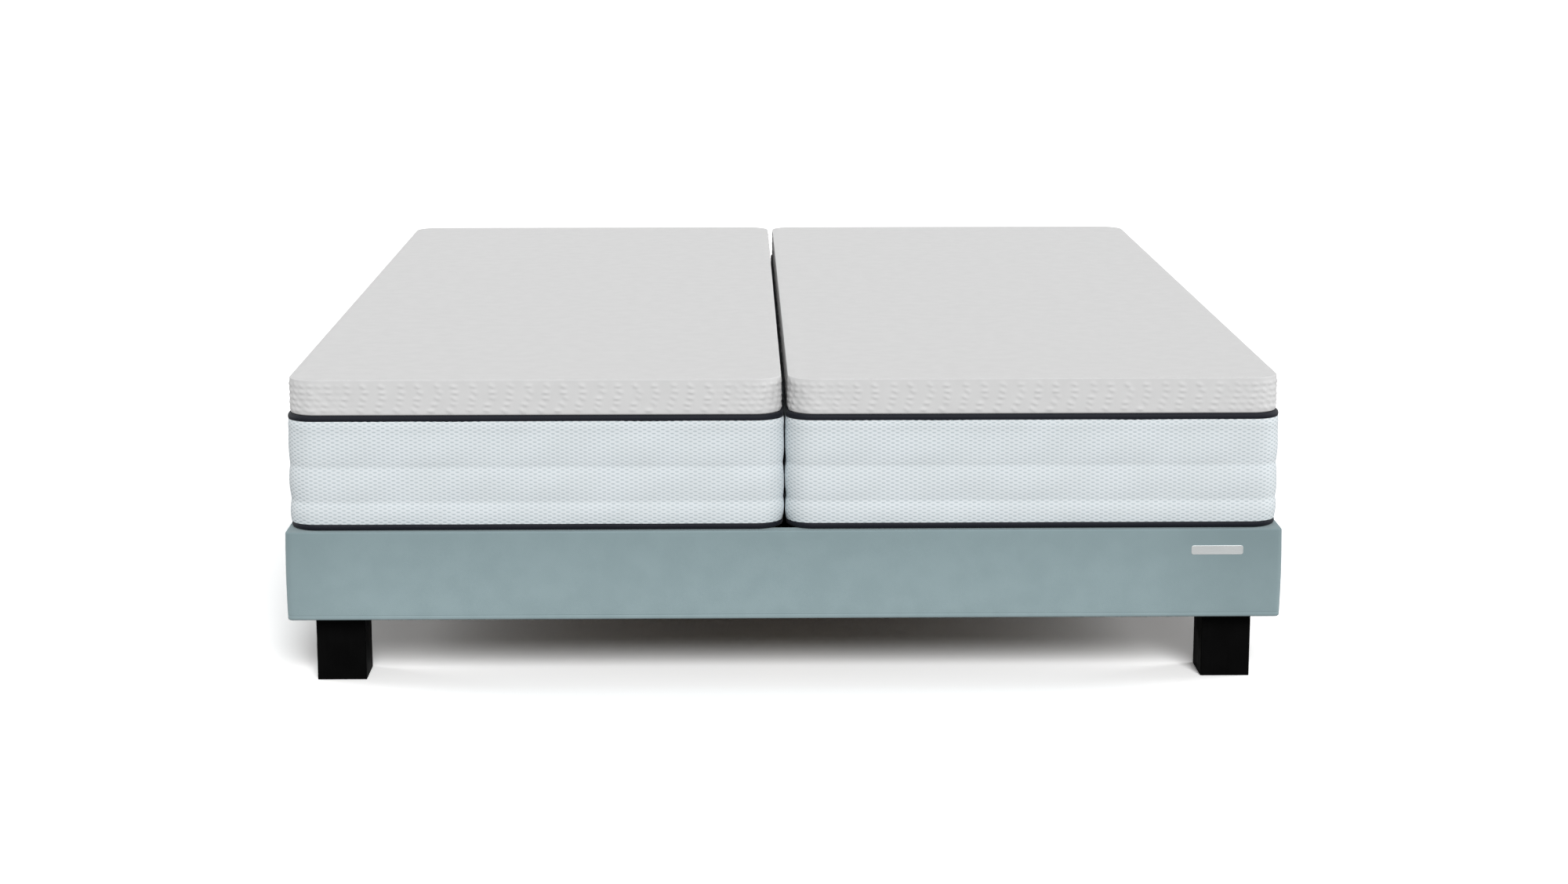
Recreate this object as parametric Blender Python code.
"""Twin adjustable bed base with its two mattresses.

One upholstered surround on square legs holds two slatted mechanisms side by side, and each mechanism
carries its own mattress. X runs across the bed, Y from the foot end (-Y) to the head end (+Y), and Z is up.
The origin is on the floor under the middle of the bed. Sizes are in metres and angles in radians.
"""

import math

import bmesh
import bpy
from mathutils import Matrix, Vector

# Overall sizes
BED_WIDTH = 1.610
BED_LENGTH = 2.020
LEG_HEIGHT = 0.110
PANEL_HEIGHT = 0.146
MATTRESS_THICKNESS = 0.2427
MATTRESS_SPLIT = 0.003
MATTRESS_SIDE_INSET = 0.0035
MATTRESS_END_INSET = 0.010

# Clearances
SEAT_GAP = 0.0003
PIN_CLEARANCE = 0.0004
TUBE_CLEARANCE = 0.0005

# Surround
BOARD = 0.022
COVER = 0.0027
COVER_CORNER = 0.008
LABEL_SIZE = (0.084, 0.0012, 0.015)
LABEL_FROM_SIDE = 0.105
LABEL_FROM_TOP = 0.034
LEG_SIDE = 0.080
LEG_SET_BACK = 0.040
LEG_CHAMFER = 0.0015
CORNER_BLOCK = 0.110
LEDGER_WIDTH = 0.035
LEDGER_HEIGHT = 0.035
LEDGER_END_GAP = 0.030
BEAM_WIDTH = 0.090
BEAM_HEIGHT = 0.040
CENTRE_LEG_SIDE = 0.060

# Sections of one mechanism, from the head end: back, seat, thigh and calf
BACK_LENGTH = 0.740
SEAT_LENGTH = 0.260
THIGH_LENGTH = 0.330
MECHANISM_SIDE_GAP = 0.0125
MECHANISM_MIDDLE_GAP = 0.0175
FIXED_FRAME_END_GAP = 0.015
MOVING_FRAME_END_GAP = 0.005
RAIL_WIDTH = 0.025
RAIL_HEIGHT = 0.024
FIXED_RAIL_HEIGHT = 0.040
RAIL_SPACE = 0.009
CROSS_BAR = 0.025
REST_PAD_LENGTH = 0.030

# Slats in their rubber holder strips
SLAT_WIDTH = 0.038
SLAT_THICKNESS = 0.008
SLAT_PITCH = 0.065
SLAT_LIFT = 0.010
HOLDER_WIDTH = 0.027
HOLDER_OVERLAP = 0.002
BANK_END_GAP = 0.022

# Hinges
PIN_RADIUS = 0.005
KNUCKLE_RADIUS = 0.0115
CHEEK = 0.0057
KNUCKLE_REACH = 0.036

# Torque tubes, their lift arms and levers
TUBE_RADIUS = 0.0125
TUBE_RISE = 0.001
TUBE_IN_RAIL = 0.018
BACK_TUBE_OFFSET = 0.060
LEG_TUBE_OFFSET = 0.050
BACK_ARM = 0.260
LEG_ARM = 0.200
ARM_FROM_RAIL = 0.050
ARM_THICKNESS = 0.008
ARM_RADIUS = 0.0105
GLIDE_RADIUS = 0.012
GLIDE_WIDTH = 0.020
TRACK_THICKNESS = 0.006
TRACK_WIDTH = 0.067
BACK_TRACK_RUN = (0.085, 0.020)
LEG_TRACK_RUN = (0.052, 0.018)
LEVER_ROOM = 0.0075
LEVER_END_GAP = 0.0029
LEVER_TIP_RADIUS = 0.007
LEVER_RADIUS = 0.0045
LEVER_WIDTH = 0.030
BACK_LEVER_REST = math.radians(20)
LEG_LEVER_REST = math.radians(8)
BACK_LEVER_SWING = math.radians(67.2)
LEG_LEVER_SWING = math.radians(41.3)

# Calf links, which keep the calf section level
LINK_OFFSET = 0.120
LINK_RADIUS = 0.010
LINK_THICKNESS = 0.008
LINK_FROM_RAIL = 0.016
LINK_PIN_RADIUS = 0.006
CALF_LUG = 0.0065
CALF_LUG_HALF = 0.014

# Twin drive
DRIVE_WIDTH = 0.150
DRIVE_WALL = 0.003
DRIVE_BOTTOM_GAP = 0.0045
DRIVE_TOP_GAP = 0.0025
POD_WIDTH = 0.050
POD_LENGTH = 0.160
POD_HEIGHT = 0.056
INLET_RADIUS = 0.010
INLET_LENGTH = 0.012
INLET_SOCKET = 0.0065
SLIDER_WIDTH = 0.060
SLIDER_LENGTH = 0.040
BACK_SLIDER_ABOVE_TIP = 0.0105
LEG_SLIDER_ABOVE_TIP = 0.0073

# Mattress
BACK_TAPER = math.radians(30)
THIGH_TAPER = math.radians(17.5)
BACK_HEEL = 0.018
THIGH_HEEL = 0.010
MATTRESS_CORNER = 0.045

ROUND_SIDES = 16

# Levels and lines that follow from the sizes above
PANEL_TOP = LEG_HEIGHT + PANEL_HEIGHT
RAIL_TOP = PANEL_TOP - SLAT_THICKNESS - SLAT_LIFT
RAIL_BOTTOM = RAIL_TOP - RAIL_HEIGHT
HINGE_Z = (RAIL_TOP + RAIL_BOTTOM) / 2
FIXED_TOP = RAIL_BOTTOM - RAIL_SPACE
FIXED_BOTTOM = FIXED_TOP - FIXED_RAIL_HEIGHT
FIXED_MIDDLE = (FIXED_TOP + FIXED_BOTTOM) / 2
TUBE_Z = FIXED_MIDDLE + TUBE_RISE
TUBE_DROP = HINGE_Z - TUBE_Z
MATTRESS_LENGTH = BED_LENGTH - 2 * MATTRESS_END_INSET
MATTRESS_WIDTH = BED_WIDTH / 2 - MATTRESS_SIDE_INSET - MATTRESS_SPLIT / 2
BACK_HINGE_Y = MATTRESS_LENGTH / 2 - BACK_LENGTH
THIGH_HINGE_Y = BACK_HINGE_Y - SEAT_LENGTH
KNEE_Y = THIGH_HINGE_Y - THIGH_LENGTH
BACK_TUBE_Y = BACK_HINGE_Y + BACK_TUBE_OFFSET
LEG_TUBE_Y = THIGH_HINGE_Y - LEG_TUBE_OFFSET
BOARD_OUTSET = COVER + SEAT_GAP
INNER_HALF_WIDTH = BED_WIDTH / 2 - BOARD_OUTSET - BOARD
INNER_HALF_LENGTH = BED_LENGTH / 2 - BOARD_OUTSET - BOARD
MECHANISM_WIDTH = INNER_HALF_WIDTH - MECHANISM_SIDE_GAP - MECHANISM_MIDDLE_GAP
MECHANISM_X = MECHANISM_MIDDLE_GAP + MECHANISM_WIDTH / 2
MATTRESS_X = (MATTRESS_SPLIT + MATTRESS_WIDTH) / 2
RAIL_OUT = MECHANISM_WIDTH / 2
RAIL_IN = RAIL_OUT - RAIL_WIDTH
FIXED_END = INNER_HALF_LENGTH - FIXED_FRAME_END_GAP
MOVING_END = INNER_HALF_LENGTH - MOVING_FRAME_END_GAP
TONGUE_IN = RAIL_IN + CHEEK + SEAT_GAP
TONGUE_OUT = RAIL_OUT - CHEEK - SEAT_GAP
ARM_FROM_CENTRE = RAIL_IN - ARM_FROM_RAIL
LINK_FROM_CENTRE = RAIL_IN - LINK_FROM_RAIL
LINK_FIXED = (THIGH_HINGE_Y - LINK_OFFSET, FIXED_MIDDLE)
LINK_MOVING = (KNEE_Y - LINK_OFFSET, FIXED_MIDDLE)
DRIVE_BOTTOM = LEG_HEIGHT + DRIVE_BOTTOM_GAP
DRIVE_FLOOR = DRIVE_BOTTOM + DRIVE_WALL
LEVER = TUBE_Z - DRIVE_FLOOR - LEVER_TIP_RADIUS - LEVER_ROOM

STEEL = ((0.040, 0.042, 0.045), 0.45, 0.6)
ZINC = ((0.55, 0.56, 0.58), 0.35, 0.9)
BEECH = ((0.72, 0.52, 0.33), 0.55, 0.0)
BOARD_WOOD = ((0.62, 0.47, 0.31), 0.70, 0.0)
BLACK_LACQUER = ((0.008, 0.008, 0.008), 0.40, 0.0)
BLACK_PLASTIC = ((0.020, 0.021, 0.023), 0.50, 0.0)
GREY_PLASTIC = ((0.16, 0.17, 0.18), 0.50, 0.0)
TEAL_FABRIC = ((0.27, 0.37, 0.39), 0.90, 0.0)
MATTRESS_KNIT = ((0.68, 0.69, 0.70), 0.95, 0.0)
SILVER = ((0.70, 0.72, 0.72), 0.35, 0.3)


# Solids and how they are combined


def mesh_object(name, bm):
    """An object made of a bmesh, with its faces pointing out."""
    bmesh.ops.recalc_face_normals(bm, faces=bm.faces)
    mesh = bpy.data.meshes.new(name)
    bm.to_mesh(mesh)
    bm.free()
    obj = bpy.data.objects.new(name, mesh)
    bpy.context.scene.collection.objects.link(obj)
    return obj


def prism(outline, start, end, axis="X"):
    """A flat outline carried from start to end along an axis.

    The outline is in (y, z) for axis X and in (x, y) for axis Z.
    """
    bm = bmesh.new()
    if axis == "X":
        verts = [bm.verts.new((start, y, z)) for y, z in outline]
        step = Vector((end - start, 0, 0))
    else:
        verts = [bm.verts.new((x, y, start)) for x, y in outline]
        step = Vector((0, 0, end - start))
    face = bm.faces.new(verts)
    extruded = bmesh.ops.extrude_face_region(bm, geom=[face])
    moved = [item for item in extruded["geom"] if isinstance(item, bmesh.types.BMVert)]
    bmesh.ops.translate(bm, verts=moved, vec=step)
    return mesh_object("shape", bm)


def block(x, y, z):
    """A box from its three spans."""
    outline = [(x[0], y[0]), (x[1], y[0]), (x[1], y[1]), (x[0], y[1])]
    return prism(outline, z[0], z[1], axis="Z")


def arc(centre, radius, start, end, steps):
    """Points of an arc, from one angle to another."""
    angles = [start + (end - start) * i / steps for i in range(steps + 1)]
    return [(centre[0] + radius * math.cos(a), centre[1] + radius * math.sin(a)) for a in angles]


def round_bar(x, centre, radius):
    """A round bar along X at a (y, z) centre."""
    outline = arc(centre, radius, 0, 2 * math.pi, ROUND_SIDES)[:-1]
    return prism(outline, x[0], x[1])


def bar_between(x, first, second, radius):
    """A flat bar across a span of X, with round ends about two (y, z) points."""
    along = math.atan2(second[1] - first[1], second[0] - first[0])
    quarter = math.pi / 2
    outline = arc(second, radius, along - quarter, along + quarter, ROUND_SIDES // 2)
    outline += arc(first, radius, along + quarter, along + 3 * quarter, ROUND_SIDES // 2)
    return prism(outline, x[0], x[1])


def rounded_rectangle(half_x, half_y, radius, steps):
    """Outline of a rectangle about the origin with round corners."""
    outline = []
    for turn, (sx, sy) in enumerate([(1, 1), (-1, 1), (-1, -1), (1, -1)]):
        centre = (sx * (half_x - radius), sy * (half_y - radius))
        start = turn * math.pi / 2
        outline += arc(centre, radius, start, start + math.pi / 2, steps)
    return outline


def combine(name, solids, cuts=(), within=()):
    """One closed solid: all the solids joined, less the cuts, and trimmed to what is within."""
    base = solids[0]
    tools = [(tool, "UNION") for tool in solids[1:]]
    tools += [(tool, "DIFFERENCE") for tool in cuts]
    tools += [(tool, "INTERSECT") for tool in within]
    for tool, operation in tools:
        modifier = base.modifiers.new("join", "BOOLEAN")
        modifier.operation = operation
        modifier.solver = "EXACT"
        modifier.object = tool
    graph = bpy.context.evaluated_depsgraph_get()
    mesh = bpy.data.meshes.new_from_object(base.evaluated_get(graph))
    mesh.name = name
    obj = bpy.data.objects.new(name, mesh)
    bpy.context.scene.collection.objects.link(obj)
    for used in [base] + [tool for tool, _ in tools]:
        bpy.data.objects.remove(used)
    return obj


def finish(obj, look, pivot=(0, 0, 0)):
    """Give a node its material, its smooth shading and its origin."""
    colour, roughness, metallic = look
    material = bpy.data.materials.new(obj.name + "_finish")
    material.use_nodes = True
    shader = material.node_tree.nodes["Principled BSDF"]
    shader.inputs["Base Color"].default_value = (*colour, 1)
    shader.inputs["Roughness"].default_value = roughness
    shader.inputs["Metallic"].default_value = metallic
    obj.data.materials.clear()
    obj.data.materials.append(material)
    obj.data.shade_smooth()
    obj.data.set_sharp_from_angle(angle=math.radians(30))
    obj.data.transform(Matrix.Translation(-Vector(pivot)))
    obj.location = pivot
    return obj


def both(near, far):
    """The same span on the two sides of a mechanism's middle, lowest value first."""
    return [(-far, -near), (near, far)]


def shifted(span, offset):
    return (span[0] + offset, span[1] + offset)


# Surround


def surround_cover():
    """A fabric skin around the boards: outer wall with a return over the top and under the bottom."""
    half_x = BED_WIDTH / 2
    half_y = BED_LENGTH / 2
    outer = prism(rounded_rectangle(half_x, half_y, COVER_CORNER, 4), LEG_HEIGHT, PANEL_TOP, axis="Z")
    hollow_z = (LEG_HEIGHT - COVER, PANEL_TOP + COVER)
    hollow = block((-INNER_HALF_WIDTH, INNER_HALF_WIDTH), (-INNER_HALF_LENGTH, INNER_HALF_LENGTH), hollow_z)
    board_z = (LEG_HEIGHT + COVER, PANEL_TOP - COVER)
    room_x = half_x - COVER
    room_y = half_y - COVER
    board_room = block((-room_x, room_x), (-room_y, room_y), board_z)
    finish(combine("surround_cover", [outer], [hollow, board_room]), TEAL_FABRIC)


def boards():
    """Four boards inside the cover. The side boards stand between the end boards."""
    half_x = BED_WIDTH / 2 - BOARD_OUTSET
    half_y = BED_LENGTH / 2 - BOARD_OUTSET
    z = (LEG_HEIGHT + BOARD_OUTSET, PANEL_TOP - BOARD_OUTSET)
    side_y = INNER_HALF_LENGTH - SEAT_GAP
    for name, sign in (("foot_board", -1), ("head_board", 1)):
        y = sorted((sign * INNER_HALF_LENGTH, sign * half_y))
        finish(combine(name, [block((-half_x, half_x), y, z)]), BOARD_WOOD)
    for name, sign in (("left_board", -1), ("right_board", 1)):
        x = sorted((sign * INNER_HALF_WIDTH, sign * half_x))
        finish(combine(name, [block(x, (-side_y, side_y), z)]), BOARD_WOOD)


def square_leg(name, x, y, side, top):
    """A square wooden leg with its upright edges taken off."""
    outline = rounded_rectangle(side / 2, side / 2, LEG_CHAMFER, 1)
    leg = prism([(x + px, y + py) for px, py in outline], 0, top, axis="Z")
    finish(combine(name, [leg]), BLACK_LACQUER)


def corners():
    """A block in each corner carries the leg under it and the mechanism on it."""
    far_x = INNER_HALF_WIDTH - SEAT_GAP
    far_y = INNER_HALF_LENGTH - SEAT_GAP
    leg_x = BED_WIDTH / 2 - LEG_SET_BACK - LEG_SIDE / 2
    leg_y = BED_LENGTH / 2 - LEG_SET_BACK - LEG_SIDE / 2
    for end, sy in (("foot", -1), ("head", 1)):
        for side, sx in (("left", -1), ("right", 1)):
            x = sorted((sx * (far_x - CORNER_BLOCK), sx * far_x))
            y = sorted((sy * (far_y - CORNER_BLOCK), sy * far_y))
            corner_z = (LEG_HEIGHT, FIXED_BOTTOM - SEAT_GAP)
            corner = combine(f"{end}_{side}_corner_block", [block(x, y, corner_z)])
            finish(corner, BOARD_WOOD)
            square_leg(f"{end}_{side}_leg", sx * leg_x, sy * leg_y, LEG_SIDE, LEG_HEIGHT - SEAT_GAP)


def supports():
    """Centre beam on its own leg, and a ledger strip along each side board."""
    top = FIXED_BOTTOM - SEAT_GAP
    far_x = INNER_HALF_WIDTH - SEAT_GAP
    far_y = INNER_HALF_LENGTH - SEAT_GAP
    beam_bottom = top - BEAM_HEIGHT
    beam = block((-BEAM_WIDTH / 2, BEAM_WIDTH / 2), (-far_y, far_y), (beam_bottom, top))
    finish(combine("centre_beam", [beam]), BOARD_WOOD)
    square_leg("centre_leg", 0, 0, CENTRE_LEG_SIDE, beam_bottom - SEAT_GAP)
    ledger_y = far_y - CORNER_BLOCK - LEDGER_END_GAP
    for name, sign in (("left_ledger", -1), ("right_ledger", 1)):
        x = sorted((sign * (far_x - LEDGER_WIDTH), sign * far_x))
        ledger = block(x, (-ledger_y, ledger_y), (top - LEDGER_HEIGHT, top))
        finish(combine(name, [ledger]), BOARD_WOOD)


def label_plate():
    """A blank plate pressed on the foot panel."""
    width, thickness, height = LABEL_SIZE
    x = BED_WIDTH / 2 - LABEL_FROM_SIDE
    z = PANEL_TOP - LABEL_FROM_TOP
    face_y = -BED_LENGTH / 2 - SEAT_GAP
    outline = rounded_rectangle(width / 2, height / 2, height / 5, 3)
    plate = prism([(px, pz) for px, pz in outline], 0, thickness, axis="Z")
    for vert in plate.data.vertices:
        px, pz, depth = vert.co
        vert.co = (x + px, face_y - depth, z + pz)
    finish(combine("label_plate", [plate]), SILVER)


# One mechanism


def arm_angle(arm):
    """Angle above level at which a lift arm's glide meets the track of a flat section."""
    touch = RAIL_HEIGHT / 2 + GLIDE_RADIUS + SEAT_GAP
    return math.asin((TUBE_DROP - touch) / arm)


def knuckle_fork(cx, pivot_y, toward):
    """Cheeks and pin at both ends of a hinge line. The fork's bar lies on the side given by toward."""
    pivot = (pivot_y, HINGE_Z)
    root = (pivot_y + toward * KNUCKLE_REACH, HINGE_Z)
    solids = []
    for sign in (-1, 1):
        for near in (RAIL_IN, RAIL_OUT - CHEEK):
            span = sorted((sign * near, sign * (near + CHEEK)))
            solids.append(bar_between(shifted(span, cx), pivot, root, KNUCKLE_RADIUS))
        pin = sorted((sign * (RAIL_IN + CHEEK / 2), sign * (RAIL_OUT - CHEEK / 2)))
        solids.append(round_bar(shifted(pin, cx), pivot, PIN_RADIUS))
    return solids


def knuckle_tongue(cx, pivot_y, toward):
    """The tongues that fill a fork, and the holes for its pins."""
    pivot = (pivot_y, HINGE_Z)
    root = (pivot_y + toward * KNUCKLE_REACH, HINGE_Z)
    solids = []
    holes = []
    for span in both(TONGUE_IN, TONGUE_OUT):
        solids.append(bar_between(shifted(span, cx), pivot, root, KNUCKLE_RADIUS))
        wide = (span[0] - CHEEK, span[1] + CHEEK)
        holes.append(round_bar(shifted(wide, cx), pivot, PIN_RADIUS + PIN_CLEARANCE))
    return solids, holes


def ladder(cx, y, z, bars):
    """Two side rails and the cross bars between them. Each bar is given by its lower y."""
    solids = [block(shifted(span, cx), y, z) for span in both(RAIL_IN, RAIL_OUT)]
    for bar in bars:
        solids.append(block((cx - RAIL_OUT, cx + RAIL_OUT), (bar, bar + CROSS_BAR), z))
    return solids


def fixed_frame(side, cx):
    """Full-length frame with the seat section, the forks, the tube bearings and the rest pads."""
    low = (FIXED_BOTTOM, FIXED_TOP)
    solids = ladder(cx, (-FIXED_END, FIXED_END), low, (-FIXED_END, FIXED_END - CROSS_BAR))
    seat_y = (THIGH_HINGE_Y + KNUCKLE_REACH / 2, BACK_HINGE_Y - KNUCKLE_REACH / 2)
    for span in both(RAIL_IN, RAIL_OUT):
        solids.append(block(shifted(span, cx), seat_y, (FIXED_TOP - RAIL_SPACE, RAIL_TOP)))
    for bar in (seat_y[0] + CROSS_BAR, seat_y[1] - 2 * CROSS_BAR):
        solids.append(block((cx - RAIL_OUT, cx + RAIL_OUT), (bar, bar + CROSS_BAR), (RAIL_BOTTOM, RAIL_TOP)))
    solids += knuckle_fork(cx, BACK_HINGE_Y, -1)
    solids += knuckle_fork(cx, THIGH_HINGE_Y, 1)
    pads = [BACK_HINGE_Y + BACK_LENGTH / 2, MOVING_END - 3 * REST_PAD_LENGTH]
    pads += [THIGH_HINGE_Y - THIGH_LENGTH / 2, -MOVING_END + 2 * REST_PAD_LENGTH, (KNEE_Y - MOVING_END) / 2]
    for pad in pads:
        for span in both(RAIL_IN + PIN_CLEARANCE, RAIL_OUT - PIN_CLEARANCE):
            pad_z = (FIXED_TOP - RAIL_SPACE / 2, RAIL_BOTTOM - SEAT_GAP)
            solids.append(block(shifted(span, cx), (pad, pad + REST_PAD_LENGTH), pad_z))
    link_in = LINK_FROM_CENTRE - LINK_THICKNESS
    for span in both(link_in, RAIL_IN + RAIL_WIDTH / 2):
        solids.append(round_bar(shifted(span, cx), LINK_FIXED, LINK_PIN_RADIUS))
    bearings = []
    for tube_y in (BACK_TUBE_Y, LEG_TUBE_Y):
        for span in both(RAIL_IN - RAIL_WIDTH, RAIL_IN + TUBE_IN_RAIL + SEAT_GAP):
            bearings.append(round_bar(shifted(span, cx), (tube_y, TUBE_Z), TUBE_RADIUS + TUBE_CLEARANCE))
    finish(combine(f"{side}_fixed_frame", solids, bearings), STEEL)


def track(cx, tube_y, toward, arm, run):
    """A plate on the inner side of each rail, which the lift arm's glide runs under."""
    y = sorted(tube_y + toward * reach for reach in (arm - run[0], arm + run[1]))
    z = (RAIL_BOTTOM, RAIL_BOTTOM + TRACK_THICKNESS)
    spans = both(RAIL_IN + RAIL_WIDTH / 4 - TRACK_WIDTH, RAIL_IN + RAIL_WIDTH / 4)
    return [block(shifted(span, cx), y, z) for span in spans]


def back_frame(side, cx):
    rail_y = (BACK_HINGE_Y + RAIL_WIDTH / 2, MOVING_END)
    middle = (rail_y[0] + rail_y[1]) / 2
    bars = (rail_y[0] + CROSS_BAR, middle + CROSS_BAR, rail_y[1] - CROSS_BAR)
    solids = ladder(cx, rail_y, (RAIL_BOTTOM, RAIL_TOP), bars)
    tongues, holes = knuckle_tongue(cx, BACK_HINGE_Y, 1)
    solids += tongues + track(cx, BACK_TUBE_Y, 1, BACK_ARM, BACK_TRACK_RUN)
    frame = combine(f"{side}_back_frame", solids, holes)
    finish(frame, STEEL, (cx, BACK_HINGE_Y, HINGE_Z))


def thigh_frame(side, cx):
    rail_y = (KNEE_Y + KNUCKLE_REACH / 2, THIGH_HINGE_Y - RAIL_WIDTH / 2)
    bars = (rail_y[0] + CROSS_BAR / 2, rail_y[1] - 2 * CROSS_BAR)
    solids = ladder(cx, rail_y, (RAIL_BOTTOM, RAIL_TOP), bars)
    tongues, holes = knuckle_tongue(cx, THIGH_HINGE_Y, -1)
    solids += tongues + track(cx, LEG_TUBE_Y, -1, LEG_ARM, LEG_TRACK_RUN)
    solids += knuckle_fork(cx, KNEE_Y, 1)
    frame = combine(f"{side}_thigh_frame", solids, holes)
    finish(frame, STEEL, (cx, THIGH_HINGE_Y, HINGE_Z))


def calf_frame(side, cx):
    """Foot section, with a lug under each rail for the calf links' shaft."""
    rail_y = (-MOVING_END, KNEE_Y - RAIL_WIDTH / 2)
    middle = (rail_y[0] + rail_y[1]) / 2
    bars = (rail_y[0], middle, rail_y[1] - 2 * CROSS_BAR)
    solids = ladder(cx, rail_y, (RAIL_BOTTOM, RAIL_TOP), bars)
    tongues, holes = knuckle_tongue(cx, KNEE_Y, -1)
    solids += tongues
    lug_in = LINK_FROM_CENTRE + LINK_THICKNESS / 2 + SEAT_GAP
    for span in both(lug_in, lug_in + CALF_LUG):
        lug_top = (LINK_MOVING[0], HINGE_Z - PIN_CLEARANCE)
        solids.append(bar_between(shifted(span, cx), LINK_MOVING, lug_top, CALF_LUG_HALF))
        holes.append(round_bar(shifted((span[0] - CHEEK, span[1] + CHEEK), cx), LINK_MOVING,
                               LINK_PIN_RADIUS + PIN_CLEARANCE))
    for span in both(lug_in, RAIL_IN + RAIL_WIDTH / 4):
        foot_y = (LINK_MOVING[0] - CALF_LUG_HALF / 2, LINK_MOVING[0] + CALF_LUG_HALF / 2)
        foot_z = (RAIL_BOTTOM + RAIL_HEIGHT / 4, RAIL_TOP - RAIL_HEIGHT / 4)
        solids.append(block(shifted(span, cx), foot_y, foot_z))
    frame = combine(f"{side}_calf_frame", solids, holes)
    finish(frame, STEEL, (cx, KNEE_Y, HINGE_Z))


def slat_bank(name, cx, y, pivot):
    """Slats across two rubber holder strips."""
    holder_z = (RAIL_TOP + SEAT_GAP, PANEL_TOP - SLAT_THICKNESS + HOLDER_OVERLAP)
    slat_z = (PANEL_TOP - SLAT_THICKNESS, PANEL_TOP)
    solids = [block(shifted(span, cx), y, holder_z) for span in both(RAIL_OUT - HOLDER_WIDTH, RAIL_OUT)]
    room = y[1] - y[0] - SLAT_WIDTH
    count = round(room / SLAT_PITCH) + 1
    for i in range(count):
        low = y[0] + room * i / (count - 1)
        span_x = (cx - RAIL_OUT + SEAT_GAP, cx + RAIL_OUT - SEAT_GAP)
        solids.append(block(span_x, (low, low + SLAT_WIDTH), slat_z))
    finish(combine(name, solids), BEECH, pivot)


def slat_banks(side, cx):
    hinge = (cx, BACK_HINGE_Y, HINGE_Z)
    slat_bank(f"{side}_back_slats", cx, (BACK_HINGE_Y + BANK_END_GAP, MOVING_END), hinge)
    seat_y = (THIGH_HINGE_Y + BANK_END_GAP, BACK_HINGE_Y - BANK_END_GAP)
    slat_bank(f"{side}_seat_slats", cx, seat_y, (cx, 0, 0))
    hinge = (cx, THIGH_HINGE_Y, HINGE_Z)
    slat_bank(f"{side}_thigh_slats", cx, (KNEE_Y + BANK_END_GAP, THIGH_HINGE_Y - BANK_END_GAP), hinge)
    hinge = (cx, KNEE_Y, HINGE_Z)
    slat_bank(f"{side}_calf_slats", cx, (-MOVING_END, KNEE_Y - BANK_END_GAP), hinge)


def torque_tube(name, cx, tube_y, toward, arm, lever_rest):
    """A cross tube with a lift arm near each end and the lever that the drive pushes."""
    centre = (tube_y, TUBE_Z)
    end = RAIL_IN + TUBE_IN_RAIL
    angle = arm_angle(arm)
    solids = [round_bar((cx - end, cx + end), centre, TUBE_RADIUS)]
    glide = (tube_y + toward * arm * math.cos(angle), TUBE_Z + arm * math.sin(angle))
    for sign in (-1, 1):
        middle = cx + sign * ARM_FROM_CENTRE
        solids.append(bar_between((middle - ARM_THICKNESS / 2, middle + ARM_THICKNESS / 2),
                                  centre, glide, ARM_RADIUS))
        solids.append(round_bar((middle - GLIDE_WIDTH / 2, middle + GLIDE_WIDTH / 2), glide, GLIDE_RADIUS))
    tip = (tube_y - toward * LEVER * math.sin(lever_rest), TUBE_Z - LEVER * math.cos(lever_rest))
    lever_x = (cx - LEVER_WIDTH / 2, cx + LEVER_WIDTH / 2)
    solids.append(bar_between(lever_x, centre, tip, LEVER_RADIUS))
    solids.append(round_bar(lever_x, tip, LEVER_TIP_RADIUS))
    finish(combine(name, solids), ZINC, (cx, tube_y, TUBE_Z))
    return tip


def calf_link(side, cx):
    """Two parallel links and the shaft that joins them under the calf section."""
    end = LINK_FROM_CENTRE + LINK_THICKNESS / 2 + SEAT_GAP + CALF_LUG
    solids = [round_bar((cx - end, cx + end), LINK_MOVING, LINK_PIN_RADIUS)]
    holes = []
    for span in both(LINK_FROM_CENTRE - LINK_THICKNESS / 2, LINK_FROM_CENTRE + LINK_THICKNESS / 2):
        solids.append(bar_between(shifted(span, cx), LINK_FIXED, LINK_MOVING, LINK_RADIUS))
        wide = (span[0] - LINK_THICKNESS, span[1] + LINK_THICKNESS)
        holes.append(round_bar(shifted(wide, cx), LINK_FIXED, LINK_PIN_RADIUS + PIN_CLEARANCE))
    finish(combine(f"{side}_calf_link", solids, holes), ZINC, (cx, *LINK_FIXED))


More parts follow.
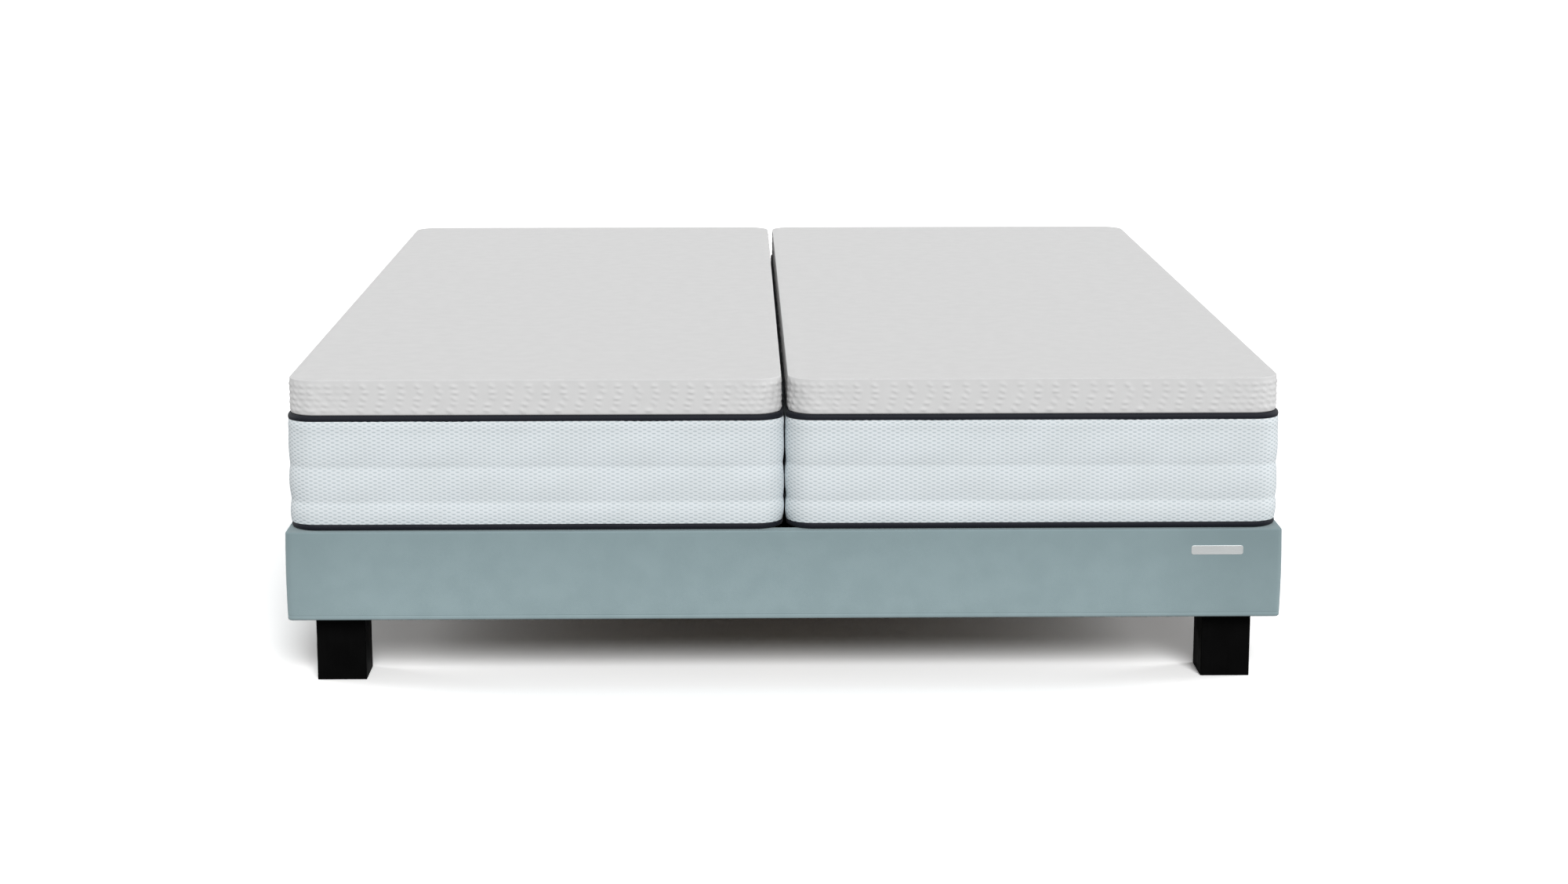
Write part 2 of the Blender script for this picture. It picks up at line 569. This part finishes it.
def drive(side, cx, pod_side, back_tip, leg_tip):
    """Twin drive hung on the two torque tubes: two housing shells and two sliders."""
    half = DRIVE_WIDTH / 2
    tip_room = LEVER_TIP_RADIUS + LEVER_END_GAP
    leg_room = LEVER * math.sin(LEG_LEVER_SWING - LEG_LEVER_REST) + tip_room
    back_room = LEVER * math.sin(BACK_LEVER_SWING - BACK_LEVER_REST) + tip_room
    inner_x = (cx - half + DRIVE_WALL, cx + half - DRIVE_WALL)
    inner_y = (LEG_TUBE_Y - leg_room, BACK_TUBE_Y + back_room)
    y = (inner_y[0] - DRIVE_WALL, inner_y[1] + DRIVE_WALL)
    top = RAIL_BOTTOM - DRIVE_TOP_GAP
    seam = TUBE_Z
    saddle_x = (cx - half - DRIVE_WALL, cx + half + DRIVE_WALL)
    saddle_radius = TUBE_RADIUS + TUBE_CLEARANCE

    tub = block((cx - half, cx + half), y, (DRIVE_BOTTOM, seam - SEAT_GAP / 2))
    pod_x = sorted((cx + pod_side * (half - DRIVE_WALL / 2), cx + pod_side * (half + POD_WIDTH)))
    pod_y = (y[0] + y[1] - POD_LENGTH) / 2
    pod = block(pod_x, (pod_y, pod_y + POD_LENGTH), (DRIVE_FLOOR, DRIVE_FLOOR + POD_HEIGHT))
    inlet_centre = (pod_y + POD_LENGTH / 2, DRIVE_FLOOR + POD_HEIGHT / 2)
    pod_face = cx + pod_side * (half + POD_WIDTH)
    inlet_end = pod_face + pod_side * INLET_LENGTH
    inlet = round_bar(sorted((pod_face - pod_side * DRIVE_WALL, inlet_end)), inlet_centre, INLET_RADIUS)
    socket_x = sorted((pod_face, inlet_end + pod_side * DRIVE_WALL))
    socket = round_bar(socket_x, inlet_centre, INLET_SOCKET)
    tub_room = block(inner_x, inner_y, (DRIVE_FLOOR, top))
    saddles = [round_bar(saddle_x, (tube_y, seam), saddle_radius) for tube_y in (BACK_TUBE_Y, LEG_TUBE_Y)]
    shell = combine(f"{side}_drive_lower_shell", [tub, pod, inlet], [tub_room, socket] + saddles)
    finish(shell, BLACK_PLASTIC)

    lid = block((cx - half, cx + half), y, (seam + SEAT_GAP / 2, top))
    lid_room = block(inner_x, inner_y, (DRIVE_BOTTOM, top - DRIVE_WALL))
    saddles = [round_bar(saddle_x, (tube_y, seam), saddle_radius) for tube_y in (BACK_TUBE_Y, LEG_TUBE_Y)]
    finish(combine(f"{side}_drive_upper_shell", [lid], [lid_room] + saddles), BLACK_PLASTIC)

    sliders = (("back", back_tip, 1, BACK_SLIDER_ABOVE_TIP), ("leg", leg_tip, -1, LEG_SLIDER_ABOVE_TIP))
    for end, tip, toward, above in sliders:
        face = tip[0] - toward * (LEVER_TIP_RADIUS + SEAT_GAP)
        slider_y = sorted((face, face - toward * SLIDER_LENGTH))
        slider_z = (DRIVE_FLOOR + SEAT_GAP, tip[1] + above)
        body = block((cx - SLIDER_WIDTH / 2, cx + SLIDER_WIDTH / 2), slider_y, slider_z)
        finish(combine(f"{side}_{end}_slider", [body]), GREY_PLASTIC, (cx, face, slider_z[0]))


def mattress_block(name, cx, outline, pivot):
    """A block of mattress from its side outline, within the round-cornered plan of the whole mattress."""
    body = prism(outline, cx - MATTRESS_WIDTH, cx + MATTRESS_WIDTH)
    plan = rounded_rectangle(MATTRESS_WIDTH / 2, MATTRESS_LENGTH / 2, MATTRESS_CORNER, 5)
    whole = prism([(cx + px, py) for px, py in plan], 0, 2 * PANEL_TOP + MATTRESS_THICKNESS, axis="Z")
    finish(combine(name, [body], within=[whole]), MATTRESS_KNIT, pivot)


def mattress(side, cx, mech_x):
    """Back, seat, thigh and calf blocks. The back and thigh blocks lean away from the seat block."""
    low = PANEL_TOP + SEAT_GAP
    high = PANEL_TOP + MATTRESS_THICKNESS + SEAT_GAP
    rise = high - low
    head = MATTRESS_LENGTH / 2
    back_low = BACK_HINGE_Y + BACK_HEEL
    back_high = back_low + rise * math.tan(BACK_TAPER)
    thigh_low = THIGH_HINGE_Y - THIGH_HEEL
    thigh_high = thigh_low - rise * math.tan(THIGH_TAPER)
    knee = KNEE_Y + SEAT_GAP / 2
    back = [(back_low, low), (head, low), (head, high), (back_high, high)]
    mattress_block(f"{side}_mattress_back", cx, back, (mech_x, BACK_HINGE_Y, HINGE_Z))
    seat = [(thigh_low + SEAT_GAP, low), (back_low - SEAT_GAP, low), (back_high - SEAT_GAP, high),
            (thigh_high + SEAT_GAP, high)]
    mattress_block(f"{side}_mattress_seat", cx, seat, (mech_x, 0, 0))
    thigh = [(knee, low), (thigh_low, low), (thigh_high, high), (knee, high)]
    mattress_block(f"{side}_mattress_thigh", cx, thigh, (mech_x, THIGH_HINGE_Y, HINGE_Z))
    knee -= SEAT_GAP
    calf = [(-head, low), (knee, low), (knee, high), (-head, high)]
    mattress_block(f"{side}_mattress_calf", cx, calf, (mech_x, KNEE_Y, HINGE_Z))


def mechanism(side, sign):
    cx = sign * MECHANISM_X
    fixed_frame(side, cx)
    back_frame(side, cx)
    thigh_frame(side, cx)
    calf_frame(side, cx)
    slat_banks(side, cx)
    back_tip = torque_tube(f"{side}_back_tube", cx, BACK_TUBE_Y, 1, BACK_ARM, BACK_LEVER_REST)
    leg_tip = torque_tube(f"{side}_leg_tube", cx, LEG_TUBE_Y, -1, LEG_ARM, LEG_LEVER_REST)
    calf_link(side, cx)
    drive(side, cx, -sign, back_tip, leg_tip)
    mattress(side, sign * MATTRESS_X, cx)


for old in list(bpy.data.objects):
    bpy.data.objects.remove(old)
surround_cover()
boards()
corners()
supports()
label_plate()
mechanism("left", -1)
mechanism("right", 1)
